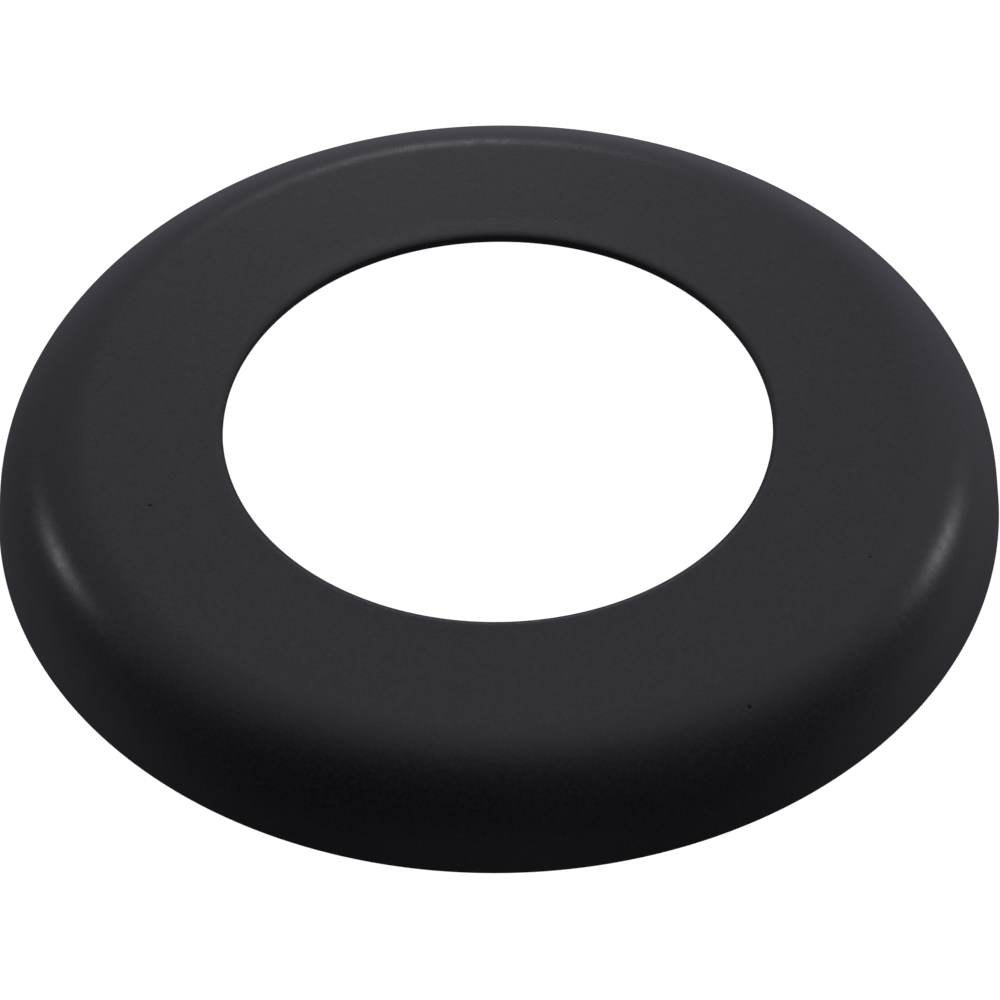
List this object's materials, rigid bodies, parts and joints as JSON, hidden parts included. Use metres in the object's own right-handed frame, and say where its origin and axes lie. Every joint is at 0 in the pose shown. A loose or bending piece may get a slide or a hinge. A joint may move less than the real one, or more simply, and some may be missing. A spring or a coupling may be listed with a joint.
{
  "type": "toilet flange",
  "caption": "Round pressed-metal cover flange with a rolled shoulder and a short skirt, which slips over a toilet's flush tube and hides the joint below it.",
  "frame": {"origin": "centre of the plane that the foot stands on, on the axis of the tube hole", "axes": "+Z along the axis of the tube hole, from the foot to the face; the shell is a surface of revolution, so X and Y are free"},
  "size_m": [0.0716, 0.0716, 0.0077],
  "materials": {
    "black_coat": "satin black powder coat, fine grain"
  },
  "bodies": {
    "root": {"flange_shell": "black_coat"}
  },
  "joints": []
}
